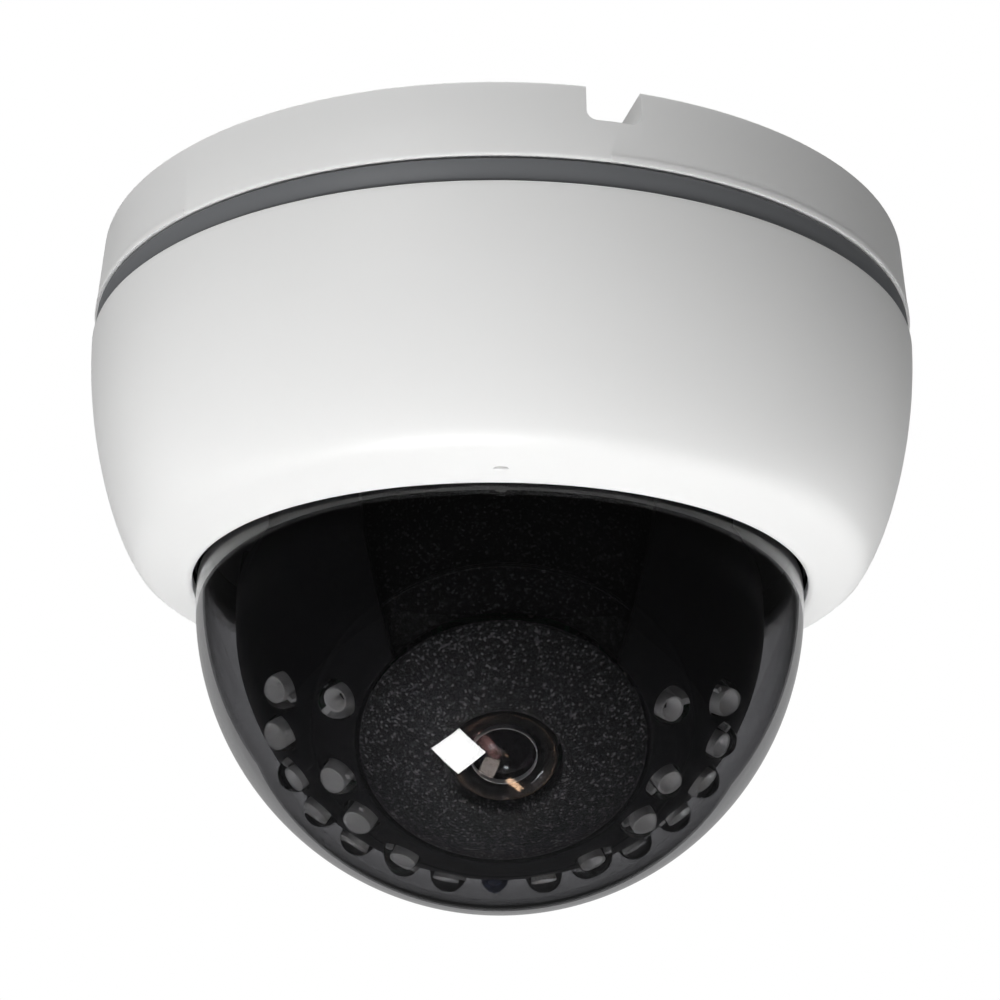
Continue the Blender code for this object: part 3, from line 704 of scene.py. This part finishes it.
def makeFrontCap(c):
    holePolar = asin((c["hole"] + c["holeEdge"]) / c["radius"]) * 180 / pi
    rim = []
    for i in range(5):
        turn = radians(90 * i / 4)
        front = sqrt(c["radius"] ** 2 - (c["hole"] + c["holeEdge"]) ** 2)
        rim.append((c["hole"] + c["holeEdge"] * (1 - sin(turn)),
                    front - c["holeEdge"] * (1 - cos(turn))))
    points = (list(reversed(rim)) + arcPoints(c["radius"], holePolar + 0.5, c["edgePolar"] - 0.8, 30)
              + [ballPoint(c["radius"] - 0.12, c["edgePolar"] - 0.3),
                 ballPoint(c["radius"] - 0.5, c["edgePolar"])]
              + arcPoints(c["radius"] - c["wall"], c["edgePolar"] - 0.4, 17.0, 12)
              + [(c["hole"] + 1.2, c["tunnelEnd"]), (c["hole"], c["tunnelEnd"])])
    piece = makeObject("grained_front_cap", spinPoints(points, 144), ballPlace)
    posts = bmesh.new()
    for k in range(3):
        addRod(posts, 1.6, 16.0, 33.0, aroundFront(120 * k, 12.6))
    carve(piece, posts, ballPlace, "UNION")
    return handOver(piece, capGrainAndGlints, "lens_module", ["front_cap"])


makeFrontCap(cap)


def makeLeds(l):
    bodyPoints = ([(0, l["foot"]), (l["flange"], l["foot"]), (l["flange"], l["foot"] + 0.85),
                   (l["radius"], l["foot"] + 0.95)]
                  + arcPoints(l["radius"], 90, 0, 14, l["tip"] - l["radius"]))
    bodyPoints[-1] = (0, l["tip"])
    for number, (polar, phi) in enumerate(l["places"], 1):
        lamp = makeObject(f"lamp_{number:02d}", spinPoints(bodyPoints, 36), ballPlace @ ledPlace(polar, phi))
        handOver(lamp, clearResin, "eyeball", [f"led_{number:02d}"])


def addShape(target, part, place):
    bmesh.ops.transform(part, matrix=place, verts=part.verts)
    shape = bpy.data.meshes.new("shape")
    part.to_mesh(shape)
    part.free()
    target.from_mesh(shape)
    bpy.data.meshes.remove(shape)


def makeLeadFrames(l):
    # inside each lamp: a cup on its post, the chip in the cup, and the second post
    posts, cups, chips = bmesh.new(), bmesh.new(), bmesh.new()
    for polar, phi in l["places"]:
        place = ledPlace(polar, phi) @ Matrix.Rotation(random.uniform(0, 2 * pi), 4, "Z")
        addBlock(posts, (-1.7, -0.25, 30.6), (0.35, 0.25, 35.3), place)
        addBlock(posts, (0.95, -0.25, 30.6), (1.7, 0.25, 36.5), place)
        cup = spinPoints([(0, 35.6), (0.5, 35.65), (1.1, 36.9), (1.3, 36.9), (0.95, 35.1), (0, 35.1)], 24)
        addShape(cups, cup, place @ Matrix.Translation((-0.4, 0, 0)))
        addBlock(chips, (-0.7, -0.3, 35.7), (-0.1, 0.3, 35.95), place)
    for name, bm, mat in (("lamp_posts", posts, silverCup), ("lamp_cups", cups, silverCup),
                          ("lamp_chips", chips, chipBlack)):
        handOver(makeObject(name, bm, ballPlace), mat, "eyeball")


makeLeds(leds)
makeLeadFrames(leds)


def makeLightSensor(b):
    points = [(0, 33.2), (1.9, 33.2), (1.9, 37.0), (1.75, 37.5), (1.3, 38.1), (0.75, 38.6), (0.3, 38.85),
              (0, 38.9)]
    place = ballPlace @ ledPlace(b["sensorPolar"], 90.0)
    return handOver(makeObject("dusk_sensor", spinPoints(points, 40), place), sensorGlass, "eyeball",
                    ["light_sensor"])


makeLightSensor(ball)
print("eyeball made")


# glasses: edge radius, heights of the front's pole and the back's edge, and how far each face swells
lens = {
    "front": {"radius": 4.6, "pole": 33.7, "drop": 1.1, "back": 31.3, "rise": 0.4, "rings": (16, 12)},
    "rear": {"radius": 3.3, "pole": 22.2, "drop": 0.7, "back": 19.4, "rise": 0.6, "rings": (10, 8),
             "edge": 20.0},
    "grooves": 16, "grooveTop": 27.0, "groovePitch": 0.5, "thread": 6.0, "threadRoot": 5.72,
}


def makeGlass(name, g, node):
    front, back = g["rings"]
    points = [(0, g["pole"])]
    points += [(g["radius"] * i / front, g["pole"] - g["drop"] * (i / front) ** 2)
               for i in range(1, front + 1)]
    points += [(g["radius"], g.get("edge", g["back"]))]
    points += [(g["radius"] * i / back, g["back"] + g["rise"] * (1 - (i / back) ** 2))
               for i in range(back - 1, -1, -1)]
    steps = 96 if node == "front_glass" else 64
    handOver(makeObject(name, spinPoints(points, steps), ballPlace), coatedGlass, "focus_barrel",
             [node])


def makeLens(l):
    barrel = [(4.9, 33.5), (4.95, 33.9), (5.15, 34.3), (5.5, 34.4), (6.55, 34.4), (6.9, 34.05), (6.9, 27.2),
              (6.0, 27.2)]
    for i in range(l["grooves"]):
        barrel += [(l["threadRoot"] if i % 2 else l["thread"], l["grooveTop"] - l["groovePitch"] * i)]
    barrel += [(5.9, 19.0), (3.6, 19.0), (3.6, 29.6), (4.3, 31.0), (4.9, 31.0)]
    handOver(makeObject("focus_barrel_body", spinPoints(barrel, 96), ballPlace), lensBlack, "focus_barrel",
             ["lens_barrel"])
    makeGlass("front_lens_glass", l["front"], "front_glass")
    ringPiece("front_glass_bezel", [(4.15, 33.3), (4.15, 34.1), (4.25, 34.1), (4.25, 33.3)], silverCup,
              "focus_barrel", "front_glass", 0.02, 96, ballPlace)
    makeGlass("rear_lens_glass", l["rear"], "rear_glass")
    ringPiece("lens_clamp_ring", [(6.4, 26.4), (8.2, 26.4), (8.2, 24.4), (6.4, 24.4)], zincSteel,
              "focus_barrel", "lens_lock_ring", 0.15, 96, ballPlace)
    ringPiece("lens_thread_mount", [(6.3, 24.0), (9.0, 24.0), (9.0, 16.0), (6.3, 16.0)], blackMatte,
              "lens_module", "lens_holder", 0.2, 96, ballPlace)


makeLens(lens)
print("lens made")

# CAD nodes that stay as they are, with their finishes
kept = {
    "turntable": blackMatte, "carrier_plate": blackMatte, "roll_hub": blackMatte,
    "main_board": boardGreen, "led_board": boardGreen, "sensor_board": boardGreen,
    "terminal_block": greenShell, "cable_grommet": softRubber, "image_sensor": sensorGlass,
}
for node, mat in kept.items():
    shape = frame["nodes"][node]
    shape.data.materials.clear()
    shape.data.materials.append(mat)
print("inner nodes finished")


studio = {
    "distance": 0.3668, "height": -0.1745, "turn": -1.75, "up": 20.87, "roll": 0.5, "lens": 100.8,
    "floorZ": -1.25,
}


def makeCamera(s):
    data = bpy.data.cameras.new("studioCamera")
    data.lens = s["lens"]
    data.sensor_width = 36
    data.clip_start = 0.01
    camera = bpy.data.objects.new("studioCamera", data)
    tip = Matrix.Rotation(radians(90 + s["up"]), 4, "X") @ Matrix.Rotation(radians(s["roll"]), 4, "Z")
    aside = Matrix.Rotation(radians(s["turn"]), 4, "Z")
    camera.matrix_world = aside @ Matrix.Translation((-0.0001, -s["distance"], s["height"])) @ tip
    bpy.context.collection.objects.link(camera)
    bpy.context.scene.camera = camera


def areaLight(name, place, aim, size, power, reach, spin, warmth):
    data = bpy.data.lights.new(name, "AREA")
    data.shape = "RECTANGLE"
    data.size, data.size_y = size
    data.energy = power
    data.color = (1.0, 1.0 - 0.35 * warmth, 1.0 - 0.6 * warmth)
    lamp = bpy.data.objects.new(name, data)
    way = (Vector(aim) - Vector(place)).to_track_quat("-Z", "Y").to_matrix().to_4x4()
    lamp.matrix_world = Matrix.Translation(place) @ way @ Matrix.Rotation(radians(spin), 4, "Z")
    lamp.visible_glossy = reach == "glint"
    lamp.visible_diffuse = reach == "soft"
    lamp.visible_transmission = reach == "inside"
    bpy.context.collection.objects.link(lamp)
    return lamp


def makeFloor(z):
    bm = bmesh.new()
    bmesh.ops.create_grid(bm, x_segments=1, y_segments=1, size=3.0)
    bmesh.ops.translate(bm, vec=(0, 0, z), verts=bm.verts)
    floor = makeObject("studioFloor", bm, Matrix())
    mat, nodes, links, shader = newMaterial("pale floor")
    shader.inputs["Base Color"].default_value = (0.86, 0.86, 0.86, 1)
    shader.inputs["Roughness"].default_value = 0.8
    shader.inputs["Emission Color"].default_value = (0.8, 0.8, 0.8, 1)
    links.new(nodes.new("ShaderNodeLightPath").outputs["Is Camera Ray"], shader.inputs["Emission Strength"])
    floor.data.materials.append(mat)
    floor.visible_glossy = False


def makeWorld(w):
    # white wherever it is seen straight, a paler backdrop behind the object, a dark studio elsewhere
    world = bpy.data.worlds.new("studioWorld")
    world.use_nodes = True
    nodes, links = world.node_tree.nodes, world.node_tree.links
    background = nodes["Background"]
    background.inputs["Color"].default_value = (1, 1, 1, 1)
    path = nodes.new("ShaderNodeLightPath")
    bounced = mathNode(nodes, links, "ADD", path.outputs["Diffuse Depth"], path.outputs["Glossy Depth"])
    straight = mathNode(nodes, links, "LESS_THAN", bounced, 0.5)
    way = nodes.new("ShaderNodeTexCoord").outputs["Generated"]
    split = nodes.new("ShaderNodeSeparateXYZ")
    links.new(way, split.inputs["Vector"])
    far = mathNode(nodes, links, "GREATER_THAN", split.outputs["Y"], w["edge"])
    high = mathNode(nodes, links, "GREATER_THAN", split.outputs["Z"], w["foot"])
    behind = mathNode(nodes, links, "MULTIPLY", far, high)
    backdrop = mathNode(nodes, links, "MULTIPLY", behind, w["backdrop"])
    total = mathNode(nodes, links, "MAXIMUM", backdrop, w["dark"])
    strength = nodes.new("ShaderNodeMix")
    links.new(straight, strength.inputs["Factor"])
    links.new(total, strength.inputs["A"])
    strength.inputs["B"].default_value = w["seen"]
    links.new(strength.outputs["Result"], background.inputs["Strength"])
    bpy.context.scene.world = world


makeCamera(studio)
makeFloor(studio["floorZ"])
makeWorld({"seen": 1.0, "dark": 0.02, "backdrop": 0.4, "edge": 0.83, "foot": -0.12})

# softboxes: turn from the front towards +X, height angle, distance, size, power, own turn, warmth and reach:
# soft ones shade surfaces, the glint is mirrored by the dome, inside ones are mirrored behind the dome
softboxes = {
    "keyBelow": (-8, -72, 0.9, (0.5, 0.5), 8.5, 0, 0, "soft"),
    "frontHigh": (-30, 22, 0.9, (0.35, 0.35), 4.0, 0, 0, "soft"),
    "rightBack": (112, -20, 0.9, (0.4, 0.4), 2.8, 0, 0, "soft"),
    "leftBack": (-112, -5, 0.9, (0.4, 0.4), 2.2, 0, 0, "soft"),
    "overhead": (0, 89, 0.9, (0.5, 0.5), 5.0, 0, 0, "soft"),
    "glintBox": (-36.0, -67.4, 0.63, (0.14, 0.13), 1.05, 17, 0, "glint"),
    "lampGlint": (-38.5, -68.3, 0.63, (0.09, 0.08), 3.0, 17, 0, "inside"),
    "quadGlint": (-14.6, -77.0, 0.63, (0.08, 0.055), 0.13, 60, 0.35, "inside"),
    "stripGlint": (39.0, -82.6, 0.63, (0.07, 0.022), 0.18, -10, 1.0, "inside"),
    "dotGlint": (9.0, -77.0, 0.63, (0.012, 0.012), 0.035, 0, 0, "inside"),
}
for name, (turn, height, distance, size, power, spin, warmth, reach) in softboxes.items():
    turn, height = radians(turn), radians(height)
    way = Vector((cos(height) * sin(turn), -cos(height) * cos(turn), sin(height)))
    areaLight(name, Vector((0, 0, -0.04)) + way * distance, (0, 0, -0.04), size, power, reach, spin, warmth)
bpy.context.scene.view_settings.view_transform = "Standard"
print("studio made")
